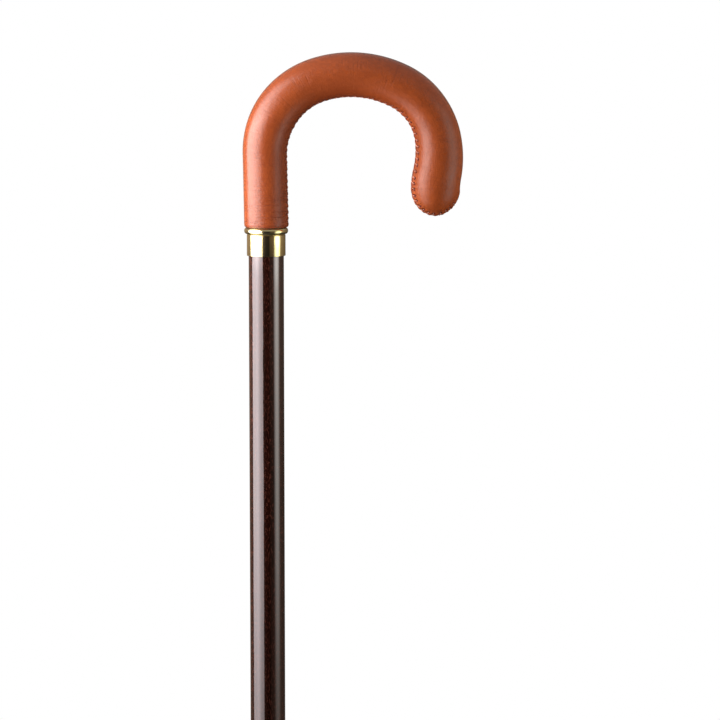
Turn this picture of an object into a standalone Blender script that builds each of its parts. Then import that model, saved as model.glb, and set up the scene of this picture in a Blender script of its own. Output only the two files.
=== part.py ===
"""Crook walking stick: a bent handle in stitched leather, a brass collar, a shaft and a rubber ferrule.

Metres, +Z up. The origin is the centre of the ferrule's sole, the stick stands along +Z, and the crook
bends from the shaft toward +X, so its hollow side faces +X at the collar and its near side faces -Y.
"""

import math

import bmesh
import bpy
import numpy as np
from mathutils import Vector

# Clearance between pieces that touch
GAP = 0.0003

# Shaft
SHAFT_LENGTH = 0.800
SHAFT_RADIUS = 0.0100
TIP_RADIUS = 0.0085
TIP_LENGTH = 0.034
TAPER_LENGTH = 0.420
TIP_CHAMFER = 0.0010

# Stud that joins the shaft and the crook
STUD_RADIUS = 0.0040
STUD_LENGTH = 0.060
STUD_CHAMFER = 0.0010
WAIST_RADIUS = 0.0034
WAIST_LENGTH = 0.012
DRILL_POINT = math.radians(31)

# Collar
COLLAR_HEIGHT = 0.0160
COLLAR_LAP = 0.0064
BAND_WALL = 0.0007
BAND_EDGE = 0.0003
BEAD_HEIGHT = 0.0036
BEAD_REACH = 0.0015
NECK_DEPTH = 0.0002
NECK_HEIGHT = 0.0006

# Crook, as the centreline of its leather cover from the collar to the nose
FOOT_STRAIGHT = 0.0015
LEAN_RADIUS = 0.300
LEAN_TURN = math.radians(1.05)
GRIP_STRAIGHT = 0.0342
HEEL_RADIUS = 0.0433
HEEL_TURN = math.radians(73.15)
CROWN_RADIUS = 0.0615
CROWN_TURN = math.radians(44.05)
FALL_RADIUS = 0.0404
FALL_TURN = math.radians(55.0)
DROP_RADIUS = 0.0557
DROP_TURN = math.radians(20.55)
FLARE_RADIUS = 0.048
FLARE_TURN = math.radians(8.6)

# Leather cover
LEATHER = 0.0012
GRIP_RADIUS = 0.0125
NOSE_RADIUS = 0.01395
NOSE_DEPTH = 0.0164
SWELL_LENGTH = 0.050
SKIVED_EDGE = 0.00055
TUCK_LENGTH = 0.0018

# Seam along the hollow side and over the nose
SEAM_TURN = math.radians(15)
SEAM_SLIT = 0.0006
SEAM_SINK = 0.0007
SEAM_RUN_IN = 0.008
STITCH_PITCH = 0.0034
STITCH_REACH = 0.0021
STITCH_REST = 0.3
THREAD_RADIUS = 0.00035
THREAD_START = 0.0035
THREAD_END = 0.0030

# Ferrule
FERRULE_HEIGHT = 0.038
FERRULE_FLOOR = 0.012
FERRULE_WALL = 0.0030
MOUTH_BEAD_HEIGHT = 0.0040
MOUTH_BEAD_REACH = 0.0010
MOUTH_CHAMFER = 0.0008
SOLE_RADIUS = 0.0155
SOLE_SIDE = 0.0060
SOLE_EDGE = 0.0010
SKIRT_HEIGHT = 0.0100
SOLE_DISC_RADIUS = 0.0042
SOLE_GROOVES = 3
SOLE_GROOVE_WIDTH = 0.0014
SOLE_GROOVE_DEPTH = 0.0015
WASHER_THICKNESS = 0.0012
WASHER_HOLE_RADIUS = 0.0030

# Fineness of the round shapes
TURNED_STEPS = 32
ARC_STEPS = 6
RING_TURN = math.radians(7.5)
RING_SPACING = 0.012
TUCK_RINGS = 3
NEAR_COLUMNS = 5
FAR_COLUMNS = 7
NOSE_ROWS = 10
SEAM_SAMPLES = 400
WELD = 0.00001
SHARP = math.radians(35)

# Finishes: colour, roughness, metallic
TAN_LEATHER = ((0.34, 0.075, 0.024), 0.42, 0.0)
WAXED_THREAD = ((0.130, 0.058, 0.040), 0.60, 0.0)
POLISHED_BRASS = ((0.78, 0.55, 0.24), 0.12, 1.0)
DARK_LACQUER = ((0.020, 0.0055, 0.0040), 0.16, 0.0)
BARE_BEECH = ((0.55, 0.36, 0.20), 0.65, 0.0)
BLACK_RUBBER = ((0.012, 0.012, 0.012), 0.80, 0.0)
ZINC_STEEL = ((0.60, 0.60, 0.58), 0.35, 1.0)

# Heights of the seats, from the sole upward
SHAFT_FOOT = FERRULE_FLOOR + GAP + WASHER_THICKNESS + GAP
JOINT_HEIGHT = SHAFT_FOOT + SHAFT_LENGTH
COLLAR_FOOT = JOINT_HEIGHT - COLLAR_LAP
CROOK_FOOT = COLLAR_FOOT + COLLAR_HEIGHT + GAP
BORE_RADIUS = STUD_RADIUS + GAP
BORE_DEPTH = STUD_LENGTH / 2 + GAP

# The crook's centreline as stretches of a length and a turn toward the nose
CROOK_STRETCHES = (
    (FOOT_STRAIGHT, 0.0),
    (LEAN_RADIUS * LEAN_TURN, -LEAN_TURN),
    (GRIP_STRAIGHT, 0.0),
    (HEEL_RADIUS * HEEL_TURN, HEEL_TURN),
    (CROWN_RADIUS * CROWN_TURN, CROWN_TURN),
    (FALL_RADIUS * FALL_TURN, FALL_TURN),
    (DROP_RADIUS * DROP_TURN, DROP_TURN),
    (FLARE_RADIUS * FLARE_TURN, -FLARE_TURN),
)
CROOK_LENGTH = sum(length for length, turn in CROOK_STRETCHES)
NEAR_SIDE = Vector((0.0, -1.0, 0.0))


def clear_scene():
    """Remove whatever objects the scene holds."""
    for thing in list(bpy.data.objects):
        bpy.data.objects.remove(thing, do_unlink=True)


def finish(name, look):
    """A material with one colour, roughness and metallic value."""
    colour, roughness, metallic = look
    material = bpy.data.materials.new(name)
    material.use_nodes = True
    shader = material.node_tree.nodes["Principled BSDF"]
    shader.inputs["Base Color"].default_value = (*colour, 1.0)
    shader.inputs["Roughness"].default_value = roughness
    shader.inputs["Metallic"].default_value = metallic
    material.diffuse_color = (*colour, 1.0)
    return material


def place(body, material, parent, height=0.0):
    """Link an object into the scene with its material, at a height above its parent."""
    bpy.context.scene.collection.objects.link(body)
    body.data.materials.append(material)
    body.parent = parent
    body.location = (0.0, 0.0, height)
    return body


def empty(name, parent=None, height=0.0):
    """An empty that pieces are placed on."""
    holder = bpy.data.objects.new(name, None)
    bpy.context.scene.collection.objects.link(holder)
    holder.parent = parent
    holder.location = (0.0, 0.0, height)
    return holder


def solid(name, bm):
    """A smooth-shaded object from a closed bmesh, its faces turned outward."""
    bmesh.ops.recalc_face_normals(bm, faces=bm.faces)
    mesh = bpy.data.meshes.new(name)
    bm.to_mesh(mesh)
    bm.free()
    mesh.shade_smooth()
    mesh.set_sharp_from_angle(angle=SHARP)
    return bpy.data.objects.new(name, mesh)


def turned(name, profile, closed=False):
    """A body spun about Z from a profile of (radius, height) points."""
    bm = bmesh.new()
    verts = [bm.verts.new((radius, 0.0, height)) for radius, height in profile]
    pairs = list(zip(verts, verts[1:]))
    if closed:
        pairs.append((verts[-1], verts[0]))
    edges = [bm.edges.new(pair) for pair in pairs]
    bmesh.ops.spin(
        bm, geom=verts + edges, cent=(0, 0, 0), axis=(0, 0, 1), angle=math.tau, steps=TURNED_STEPS
    )
    bmesh.ops.remove_doubles(bm, verts=bm.verts, dist=WELD)
    return solid(name, bm)


def arc(centre, radii, start, end, steps=ARC_STEPS):
    """Points of a quarter or half ellipse round a centre, from one angle to another."""
    angles = [start + (end - start) * k / steps for k in range(steps + 1)]
    return [
        (centre[0] + radii[0] * math.cos(angle), centre[1] + radii[1] * math.sin(angle))
        for angle in angles
    ]


def shaft():
    """The turned shaft: drilled at its top for the stud, parallel, tapered, then parallel in the ferrule."""
    bore_floor = SHAFT_LENGTH - BORE_DEPTH
    profile = [
        (0.0, bore_floor - BORE_RADIUS * math.tan(DRILL_POINT)),
        (BORE_RADIUS, bore_floor),
        (BORE_RADIUS, SHAFT_LENGTH),
        (SHAFT_RADIUS, SHAFT_LENGTH),
        (SHAFT_RADIUS, TIP_LENGTH + TAPER_LENGTH),
        (TIP_RADIUS, TIP_LENGTH),
        (TIP_RADIUS, TIP_CHAMFER),
        (TIP_RADIUS - TIP_CHAMFER, 0.0),
        (0.0, 0.0),
    ]
    return turned("shaft", profile)


def joint_stud():
    """The double-ended stud, with a waist between its two ends, centred on the joint."""
    half = STUD_LENGTH / 2
    waist = WAIST_LENGTH / 2
    upper = [
        (0.0, half),
        (STUD_RADIUS - STUD_CHAMFER, half),
        (STUD_RADIUS, half - STUD_CHAMFER),
        (STUD_RADIUS, waist + STUD_RADIUS - WAIST_RADIUS),
        (WAIST_RADIUS, waist),
    ]
    lower = [(radius, -height) for radius, height in reversed(upper)]
    return turned("joint_stud", upper + lower)


def collar():
    """The collar: a plain band with a rounded bead at its top and a fine neck under the bead."""
    bore = SHAFT_RADIUS + GAP
    band = bore + BAND_WALL
    bead = BEAD_HEIGHT / 2
    bead_foot = COLLAR_HEIGHT - BEAD_HEIGHT
    profile = [(bore, COLLAR_HEIGHT)]
    profile += arc((band, COLLAR_HEIGHT - bead), (BEAD_REACH, bead), math.pi / 2, -math.pi / 2)
    profile += [
        (band - NECK_DEPTH, bead_foot - NECK_DEPTH),
        (band - NECK_DEPTH, bead_foot - NECK_HEIGHT + NECK_DEPTH),
        (band, bead_foot - NECK_HEIGHT),
        (band, BAND_EDGE),
        (band - BAND_EDGE, 0.0),
        (bore, 0.0),
    ]
    return turned("collar", profile, closed=True)


def sole_profile():
    """The ferrule's sole from its edge to its middle: ribs and grooves round a flat disc."""
    outer = SOLE_RADIUS - SOLE_EDGE
    rib = (outer - SOLE_DISC_RADIUS) / SOLE_GROOVES - SOLE_GROOVE_WIDTH
    points = [(outer, 0.0)]
    for _ in range(SOLE_GROOVES):
        groove_outer = points[-1][0] - rib
        groove_inner = groove_outer - SOLE_GROOVE_WIDTH
        points += [
            (groove_outer, 0.0),
            (groove_outer, SOLE_GROOVE_DEPTH),
            (groove_inner, SOLE_GROOVE_DEPTH),
            (groove_inner, 0.0),
        ]
    return points + [(0.0, 0.0)]


def ferrule():
    """The rubber ferrule: a socket with a beaded mouth over a flared skirt and a grooved sole."""
    socket = TIP_RADIUS + GAP
    body = socket + FERRULE_WALL
    mouth = FERRULE_HEIGHT - MOUTH_BEAD_HEIGHT
    bead_round = MOUTH_BEAD_HEIGHT / 2
    skirt_top = SOLE_SIDE + SKIRT_HEIGHT
    profile = [
        (0.0, FERRULE_FLOOR),
        (socket, FERRULE_FLOOR),
        (socket, FERRULE_HEIGHT - MOUTH_CHAMFER),
        (socket + MOUTH_CHAMFER, FERRULE_HEIGHT),
    ]
    profile += arc((body, mouth + bead_round), (MOUTH_BEAD_REACH, bead_round), math.pi / 2, -math.pi / 2)
    profile += arc((SOLE_RADIUS, skirt_top), (body - SOLE_RADIUS, -SKIRT_HEIGHT), 0.0, math.pi / 2)
    profile += [(SOLE_RADIUS, SOLE_EDGE)]
    profile += sole_profile()
    return turned("ferrule", profile)


def ferrule_washer():
    """The washer in the bottom of the ferrule's socket, that keeps the shaft from cutting through."""
    profile = [
        (WASHER_HOLE_RADIUS, WASHER_THICKNESS),
        (TIP_RADIUS, WASHER_THICKNESS),
        (TIP_RADIUS, 0.0),
        (WASHER_HOLE_RADIUS, 0.0),
    ]
    return turned("ferrule_washer", profile, closed=True)


def section_frame(distance):
    """The centreline at a distance from the collar: place, way ahead and way to the hollow side."""
    x, z, heading = 0.0, 0.0, math.pi / 2
    for length, turn in CROOK_STRETCHES:
        run = min(max(distance, 0.0), length)
        part = turn * run / length
        chord = run * math.sin(part / 2) / (part / 2) if part else run
        x += chord * math.cos(heading - part / 2)
        z += chord * math.sin(heading - part / 2)
        heading -= part
        distance -= run
    ahead = Vector((math.cos(heading), 0.0, math.sin(heading)))
    hollow = Vector((math.sin(heading), 0.0, -math.cos(heading)))
    return Vector((x, 0.0, z)), ahead, hollow


def smooth_step(share):
    """Ease from 0 to 1 with level ends."""
    share = min(max(share, 0.0), 1.0)
    return share * share * (3 - 2 * share)


def cover_radius(distance):
    """The leather's outer radius, level along the grip and fuller at the nose."""
    swell = smooth_step((distance - CROOK_LENGTH + SWELL_LENGTH) / SWELL_LENGTH)
    return GRIP_RADIUS + (NOSE_RADIUS - GRIP_RADIUS) * swell


def tuck(distance):
    """How far the leather's outer face is rounded in where its edge is skived thin at the collar."""
    rise = max(0.0, 1 - distance / TUCK_LENGTH)
    return (LEATHER - SKIVED_EDGE) * (1 - math.sqrt(1 - rise * rise))


def tube_point(distance, angle, lift):
    """A point beside the centreline, its angle measured from the hollow side toward -Y."""
    centre, _, hollow = section_frame(distance)
    radius = cover_radius(distance) + lift
    return centre + radius * (math.cos(angle) * hollow + math.sin(angle) * NEAR_SIDE)


def nose_point(swing, latitude, lift):
    """A point of the nose: swing runs from the hollow side over the tip, latitude from the middle to -Y."""
    centre, ahead, hollow = section_frame(CROOK_LENGTH)
    across = (NOSE_RADIUS + lift) * math.cos(swing) * hollow
    along = (NOSE_DEPTH + lift) * math.sin(swing) * ahead
    side = (NOSE_RADIUS + lift) * NEAR_SIDE
    return centre + math.cos(latitude) * (across + along) + math.sin(latitude) * side


def ring_distances():
    """Distances of the cover's rings along the centreline, close together where it bends or tucks in."""
    distances = [TUCK_LENGTH * k / TUCK_RINGS for k in range(TUCK_RINGS)]
    start = TUCK_LENGTH
    end = 0.0
    for length, turn in CROOK_STRETCHES:
        end += length
        steps = max(math.ceil(abs(turn) / RING_TURN), math.ceil((end - start) / RING_SPACING))
        distances += [start + (end - start) * k / steps for k in range(steps)]
        start = max(start, end)
    return distances + [CROOK_LENGTH]


def cheek_latitudes():
    """Latitudes of the columns from the seam to the poles at -Y and +Y, near side and far side."""
    near_step = (math.pi / 2 - SEAM_TURN) / NEAR_COLUMNS
    far_step = (math.pi / 2 + SEAM_TURN) / FAR_COLUMNS
    near = [SEAM_TURN + near_step * k for k in range(NEAR_COLUMNS + 1)]
    far = [SEAM_TURN - far_step * k for k in range(FAR_COLUMNS + 1)]
    return near, far


def add_tube(bm, inset, parting, tucked):
    """Add the tube's rings, each from the seam's near edge round by -Y, the back and +Y to its far edge."""
    near, far = cheek_latitudes()
    angles = [SEAM_TURN + parting] + near[1:]
    angles += [math.pi - angle for angle in reversed(near[:-1])]
    angles += [math.pi - angle for angle in far[1:]]
    angles += [math.tau + angle for angle in reversed(far[1:-1])]
    angles += [math.tau + SEAM_TURN - parting]
    rings = []
    for distance in ring_distances():
        level = -inset - tuck(distance) if tucked else -inset
        valley = level - SEAM_SINK * smooth_step(distance / SEAM_RUN_IN)
        lifts = [valley] + [level] * (len(angles) - 2) + [valley]
        rings.append([bm.verts.new(tube_point(distance, *at)) for at in zip(angles, lifts)])
    for lower, upper in zip(rings, rings[1:]):
        for k in range(len(angles) - 1):
            bm.faces.new((lower[k], upper[k], upper[k + 1], lower[k + 1]))
    return rings[-1]


def add_cheek(bm, inset, parting, latitudes, first, final):
    """Add one half of the nose, its rows swinging about the pole from the hollow side to the back."""
    pole = first[-1]
    rows = [first]
    for k in range(1, NOSE_ROWS):
        swing = math.pi * k / NOSE_ROWS
        seam = bm.verts.new(nose_point(swing, latitudes[0] + parting, -inset - SEAM_SINK))
        cheek = [bm.verts.new(nose_point(swing, angle, -inset)) for angle in latitudes[1:-1]]
        rows.append([seam] + cheek + [pole])
    rows.append(final)
    for lower, upper in zip(rows, rows[1:]):
        for k in range(len(latitudes) - 1):
            corners = dict.fromkeys([lower[k], upper[k], upper[k + 1], lower[k + 1]])
            bm.faces.new(tuple(corners))


def add_skin(bm, inset, slit, tucked=False):
    """Add the crook's skin to a bmesh, inset from the leather's face and parted along the seam by a slit.

    The seam keeps one latitude over the nose and ends at its back, where the two cheeks share a corner.
    """
    near, far = cheek_latitudes()
    parting = slit / 2 / GRIP_RADIUS
    ring = add_tube(bm, inset, parting, tucked)
    back = 2 * NEAR_COLUMNS
    add_cheek(bm, inset, parting, near, ring[: NEAR_COLUMNS + 1], ring[back : NEAR_COLUMNS - 1 : -1])
    far_final = ring[back : back + FAR_COLUMNS + 1]
    add_cheek(bm, inset, -parting, far, ring[: -FAR_COLUMNS - 2 : -1], far_final)


def next_ring(bm, edges, radius, height):
    """Extrude a loop of edges round the Z axis to a radius and a height, and return the new loop."""
    made = bmesh.ops.extrude_edge_only(bm, edges=edges)["geom"]
    for vert in made:
        if isinstance(vert, bmesh.types.BMVert):
            flat = vert.co.xy.normalized() * radius
            vert.co = (flat.x, flat.y, height)
    return [edge for edge in made if isinstance(edge, bmesh.types.BMEdge)]


def crook_core():
    """The bent wooden bar under the leather, its foot turned down to a spigot and drilled for the stud."""
    bm = bmesh.new()
    add_skin(bm, LEATHER + GAP, 0.0)
    bmesh.ops.remove_doubles(bm, verts=bm.verts, dist=WELD)
    foot = JOINT_HEIGHT + GAP - CROOK_FOOT
    bore_top = JOINT_HEIGHT + BORE_DEPTH - CROOK_FOOT
    loop = [edge for edge in bm.edges if edge.is_boundary]
    loop = next_ring(bm, loop, SHAFT_RADIUS, 0.0)
    loop = next_ring(bm, loop, SHAFT_RADIUS, foot)
    loop = next_ring(bm, loop, BORE_RADIUS, foot)
    loop = next_ring(bm, loop, BORE_RADIUS, bore_top)
    drill_tip = bore_top + BORE_RADIUS * math.tan(DRILL_POINT)
    loop = next_ring(bm, loop, WELD, drill_tip)
    tip_verts = list({vert for edge in loop for vert in edge.verts})
    bmesh.ops.pointmerge(bm, verts=tip_verts, merge_co=(0.0, 0.0, drill_tip))
    return solid("crook_core", bm)


def leather_cover():
    """The leather sleeve: one sheet wrapped round the core, its two edges meeting at the seam."""
    bm = bmesh.new()
    add_skin(bm, 0.0, SEAM_SLIT, tucked=True)
    rim = [edge for edge in bm.edges if edge.is_boundary]
    count = len(bm.verts)
    add_skin(bm, LEATHER, SEAM_SLIT)
    bm.verts.index_update()
    bm.verts.ensure_lookup_table()
    for edge in rim:
        outer = list(edge.verts)
        inner = [bm.verts[vert.index + count] for vert in reversed(outer)]
        bm.faces.new(outer + inner)
    return solid("leather_cover", bm)


def seam_point(along, side, lift):
    """A point beside the seam, on the tube up to its end and over the nose beyond it."""
    if along <= CROOK_LENGTH:
        return tube_point(along, SEAM_TURN + side / cover_radius(along), lift)
    return nose_point((along - CROOK_LENGTH) / NOSE_RADIUS, SEAM_TURN + side / NOSE_RADIUS, lift)


def seam_thread():
    """The thread laced across the seam, resting on one leather edge and then on the other."""
    seam_end = CROOK_LENGTH + math.pi * NOSE_RADIUS
    marks = np.linspace(0.0, seam_end, SEAM_SAMPLES).tolist()
    line = np.array([seam_point(mark, 0.0, 0.0) for mark in marks])
    lengths = np.append(0.0, np.cumsum(np.linalg.norm(np.diff(line, axis=0), axis=1)))
    stitches = round((lengths[-1] - THREAD_START - THREAD_END) / STITCH_PITCH)
    lift = THREAD_RADIUS + GAP
    points = []
    for k in range(stitches):
        for share, side in (
            (0.0, STITCH_REACH),
            (STITCH_REST, STITCH_REACH),
            (0.5, -STITCH_REACH),
            (0.5 + STITCH_REST, -STITCH_REACH),
        ):
            along = np.interp(THREAD_START + (k + share) * STITCH_PITCH, lengths, marks)
            points.append(seam_point(float(along), side, lift))
    curve = bpy.data.curves.new("seam_thread", "CURVE")
    curve.dimensions = "3D"
    curve.bevel_depth = THREAD_RADIUS
    curve.bevel_resolution = 0
    curve.use_fill_caps = True
    spline = curve.splines.new("POLY")
    spline.points.add(len(points) - 1)
    for spot, point in zip(spline.points, points):
        spot.co = (*point, 1.0)
    return bpy.data.objects.new("seam_thread", curve)


def build():
    """Make every piece and set it on its seat."""
    clear_scene()
    beech = finish("bare_beech", BARE_BEECH)
    steel = finish("zinc_steel", ZINC_STEEL)
    stick = empty("stick")
    place(ferrule(), finish("black_rubber", BLACK_RUBBER), stick)
    place(ferrule_washer(), steel, stick, FERRULE_FLOOR + GAP)
    place(shaft(), finish("dark_lacquer", DARK_LACQUER), stick, SHAFT_FOOT)
    place(joint_stud(), steel, stick, JOINT_HEIGHT)
    place(collar(), finish("polished_brass", POLISHED_BRASS), stick, COLLAR_FOOT)
    crook = empty("crook", stick, CROOK_FOOT)
    place(crook_core(), beech, crook)
    place(leather_cover(), finish("tan_leather", TAN_LEATHER), crook)
    place(seam_thread(), finish("waxed_thread", WAXED_THREAD), crook)


build()
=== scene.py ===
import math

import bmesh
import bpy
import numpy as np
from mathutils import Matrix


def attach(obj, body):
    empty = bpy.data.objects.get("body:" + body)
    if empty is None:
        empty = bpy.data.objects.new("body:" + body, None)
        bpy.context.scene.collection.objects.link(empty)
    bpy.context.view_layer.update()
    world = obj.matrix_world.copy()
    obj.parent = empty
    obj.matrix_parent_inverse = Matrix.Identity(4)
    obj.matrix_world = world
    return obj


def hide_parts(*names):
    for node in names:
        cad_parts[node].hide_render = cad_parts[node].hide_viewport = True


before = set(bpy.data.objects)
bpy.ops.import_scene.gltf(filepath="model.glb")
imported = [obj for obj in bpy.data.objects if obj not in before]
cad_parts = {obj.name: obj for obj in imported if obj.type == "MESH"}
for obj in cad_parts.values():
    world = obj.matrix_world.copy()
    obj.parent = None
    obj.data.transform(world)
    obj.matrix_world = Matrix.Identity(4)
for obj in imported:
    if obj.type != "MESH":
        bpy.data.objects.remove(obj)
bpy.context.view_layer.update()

# %% [markdown]
# # A crook walking stick, dressed
# The solids of the stick come from its CAD source: a lacquered shaft, a brass collar, a bent wooden
# crook under a sewn leather cover, and a rubber ferrule. They are plain and faceted, and this notebook
# lays the real surfaces over them.


def in_mm(metres):
    """A length in millimetres, rounded to a tenth."""
    return round(1000 * float(metres), 1)


# %% [markdown]
# ## The camera
# The photograph was taken from a little above the crook with a long lens, which keeps the sides of
# the shaft nearly parallel. Our camera does the same and looks down by 7 degrees.

# %% Camera
LENS = 156.0
SENSOR = 36.0
CAMERA_PLACE = (0.05326, -1.76635, 0.96756)
CAMERA_DIP = math.radians(7.1)
QUARTER = math.pi / 2


def put_in_scene(name, data):
    """Link a camera, a mesh or a lamp to the scene as an object."""
    made = bpy.data.objects.new(name, data)
    bpy.context.scene.collection.objects.link(made)
    return made


camera = put_in_scene("camera", bpy.data.cameras.new("camera"))
camera.data.lens = LENS
camera.data.sensor_width = SENSOR
camera.location = CAMERA_PLACE
camera.rotation_euler = (QUARTER - CAMERA_DIP, 0.0, 0.0)
bpy.context.scene.camera = camera
print("field of view in degrees:", round(math.degrees(camera.data.angle), 2))

# %% [markdown]
# Every surface is a grid: rows and columns of points worked out with numpy, and a face between each
# four neighbours. Where a ring closes or two grids meet, welding makes one point of two, and then the
# faces are turned outward.

# %% Grids and welding
WELD = 2e-6
THINNEST = WELD / 10
SHARP = math.radians(38)


def grid_faces(rows, columns, first=0, flip=False):
    """Four corner numbers for each face of a grid."""
    number = first + np.arange(rows * columns).reshape(rows, columns)
    corners = [number[:-1, :-1], number[:-1, 1:], number[1:, 1:], number[1:, :-1]]
    if flip:
        corners.reverse()
    return np.stack(corners, axis=-1).reshape(-1, 4)


def weld(mesh):
    """Merge points that touch, drop faces without area and turn the rest outward."""
    bm = bmesh.new()
    bm.from_mesh(mesh)
    bmesh.ops.remove_doubles(bm, verts=bm.verts, dist=WELD)
    bmesh.ops.dissolve_degenerate(bm, dist=THINNEST, edges=bm.edges)
    bmesh.ops.recalc_face_normals(bm, faces=bm.faces)
    bm.to_mesh(mesh)
    bm.free()
    mesh.shade_smooth()
    mesh.set_sharp_from_angle(angle=SHARP)
    return mesh


print("a grid of 3 by 4 points has", len(grid_faces(3, 4)), "faces")

# %% [markdown]
# One mesh may be made of several grids. Its points carry their place on the flat surface, the UV, and
# named values for the finish. A finished piece rides on the stick and hides the CAD nodes that it
# stands for.

# %% Patchworks and pieces
class Patchwork:
    """Grids gathered for one mesh, with a UV and named values for each point."""

    def __init__(self):
        self.points, self.faces, self.uv = [], [], []
        self.values = {}
        self.count = 0

    def add(self, points, uv, flip=False, **values):
        """Add a grid of points, shaped rows by columns by 3."""
        rows, columns = points.shape[:2]
        self.faces.append(grid_faces(rows, columns, self.count, flip))
        self.points.append(points.reshape(-1, 3))
        self.uv.append(np.broadcast_to(uv, (rows, columns, 2)).reshape(-1, 2))
        for name, value in values.items():
            flat = np.broadcast_to(value, (rows, columns)).reshape(-1)
            self.values.setdefault(name, []).append(flat)
        self.count += rows * columns

    def mesh(self, name):
        """Make the mesh from whole arrays, then weld what touches."""
        faces = np.concatenate(self.faces)
        made = bpy.data.meshes.new(name)
        made.from_pydata(np.concatenate(self.points), [], faces)
        layer = made.uv_layers.new(name="surface")
        flat = np.concatenate(self.uv)[faces.ravel()]
        layer.data.foreach_set("uv", flat.astype(np.float32).ravel())
        for value_name, parts in self.values.items():
            attribute = made.attributes.new(value_name, "FLOAT", "POINT")
            attribute.data.foreach_set("value", np.concatenate(parts).astype(np.float32))
        return weld(made)


def piece(name, mesh, material, slot, *nodes):
    """Put a mesh on the stick and count its edges that don't join two faces."""
    made = put_in_scene(name, mesh)
    mesh.materials.append(material)
    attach(made, "root")
    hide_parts(*nodes)
    edges = np.empty(len(mesh.loops), dtype=np.int32)
    mesh.loops.foreach_get("edge_index", edges)
    open_edges = int((np.bincount(edges) != 2).sum())
    triangles = len(mesh.loops) - 2 * len(mesh.polygons)
    print(name, "has", triangles, "triangles and", open_edges, "open edges")
    return made


print("CAD nodes to dress:", ", ".join(sorted(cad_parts)))

# %% [markdown]
# ## Shader sums written as Python
# A material is a web of small nodes. A thin wrapper round one output socket lets us write it as
# sums, such as `grain * 0.4 + 0.3`: each sign adds a Math node. A Mix node keeps its colours in
# sockets 6 and 7 and gives the mixed one from output 2.

# %% A socket that Python's signs work on
MIX_SHARE, MIX_FIRST, MIX_SECOND, MIX_RESULT = 0, 6, 7, 2


class Wire:
    """A node's output. The signs + - * / add Math nodes, and node() adds any other kind."""

    def __init__(self, tree, socket=None):
        self.tree, self.socket = tree, socket

    def node(self, kind, sockets=None, settings=None, out=0):
        """Add a shader node with its settings and the values or wires of its sockets."""
        made = self.tree.nodes.new("ShaderNode" + kind)
        for name, value in (settings or {}).items():
            setattr(made, name, value)
        for name, value in (sockets or {}).items():
            if isinstance(value, Wire):
                self.tree.links.new(value.socket, made.inputs[name])
            else:
                made.inputs[name].default_value = value
        return Wire(self.tree, made.outputs[out] if len(made.outputs) else None)

    def math(self, operation, *values):
        """Add a Math node of this operation on the values."""
        return self.node("Math", dict(enumerate(values)), {"operation": operation})

    def __add__(self, other):
        return self.math("ADD", self, other)

    def __sub__(self, other):
        return self.math("SUBTRACT", self, other)

    def __rsub__(self, other):
        return self.math("SUBTRACT", other, self)

    def __mul__(self, other):
        return self.math("MULTIPLY", self, other)

    def __truediv__(self, other):
        return self.math("DIVIDE", self, other)

    __radd__, __rmul__ = __add__, __mul__

    def clamped(self):
        """The value kept between 0 and 1."""
        return self.math("MINIMUM", self.math("MAXIMUM", self, 0.0), 1.0)

    def step(self, low, high):
        """An even rise from 0 where the value is low to 1 where it is high."""
        return ((self - low) / (high - low)).clamped()

    def ramp(self, stops):
        """A colour for the value, from (position, (red, green, blue)) stops."""
        made = self.node("ValToRGB", {"Fac": self})
        elements = made.socket.node.color_ramp.elements
        while len(elements) < len(stops):
            elements.new(0.5)
        for element, (position, colour) in zip(elements, stops):
            element.position = position
            element.color = (*colour, 1.0)
        return made

    def tint(self, first, second):
        """The first colour where the value is 0, the second where it is 1."""
        first, second = [c if isinstance(c, Wire) else (*c, 1.0) for c in (first, second)]
        sockets = {MIX_SHARE: self, MIX_FIRST: first, MIX_SECOND: second}
        return self.node("Mix", sockets, {"data_type": "RGBA"}, out=MIX_RESULT)

    def noise(self, waves, detail=2.0, roughness=0.5):
        """Soft noise, mostly from 0.3 to 0.7, with so many waves for each metre."""
        sockets = {"Vector": self, "Scale": waves, "Detail": detail, "Roughness": roughness}
        return self.node("TexNoise", sockets)

    def drawn_out(self, waves, detail=2.0, roughness=0.5):
        """Noise with its own number of waves along each axis."""
        stretched = self.node("Mapping", {"Vector": self, "Scale": waves})
        return stretched.noise(1.0, detail, roughness)

    def axis(self, letter):
        """The X, Y or Z of a place."""
        return self.node("SeparateXYZ", {"Vector": self}, out=letter)

    def carried(self, name):
        """A value that the points carry under this name."""
        return self.node("Attribute", settings={"attribute_name": name}, out="Fac")

    def bump(self, distance, strength=1.0):
        """A normal bent by the value, read as a height of this many metres."""
        sockets = {"Height": self, "Distance": distance, "Strength": strength}
        return self.node("Bump", sockets)


print("signs that add Math nodes: + - * /")

# %% [markdown]
# Every finish starts from two maps. The place on the object, in metres, suits a pattern in the stuff
# itself, such as wood grain. The flat place on the surface suits one that follows the shape, such as
# creases. Every finish on the stick ends in the Principled shader.

# %% Opening and closing a material
def new_material(name):
    """An empty material, a wire to build on, and the two maps."""
    material = bpy.data.materials.new(name)
    material.use_nodes = True
    material.node_tree.nodes.clear()
    start = Wire(material.node_tree)
    place = start.node("TexCoord", out="Object")
    surface = start.node("UVMap", settings={"uv_map": "surface"})
    return material, start, place, surface


def finish_material(start, **sockets):
    """Close a material with the Principled shader; two words in a socket's name join with _."""
    named = {name.replace("_", " "): value for name, value in sockets.items()}
    shader = start.node("BsdfPrincipled", named)
    start.node("OutputMaterial", {"Surface": shader})


print("slots of the record:", sorted(bpy.data.materials.keys()))

# %% [markdown]
# ## The line that the crook follows
# A crook is steamed wood bent round a form, so its middle line is made of arcs that run into each
# other. We walk along it: each stretch has a length and a turn, and the chord of its arc leads on.

# %% Centreline
CROOK_FOOT = 0.8237


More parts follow.
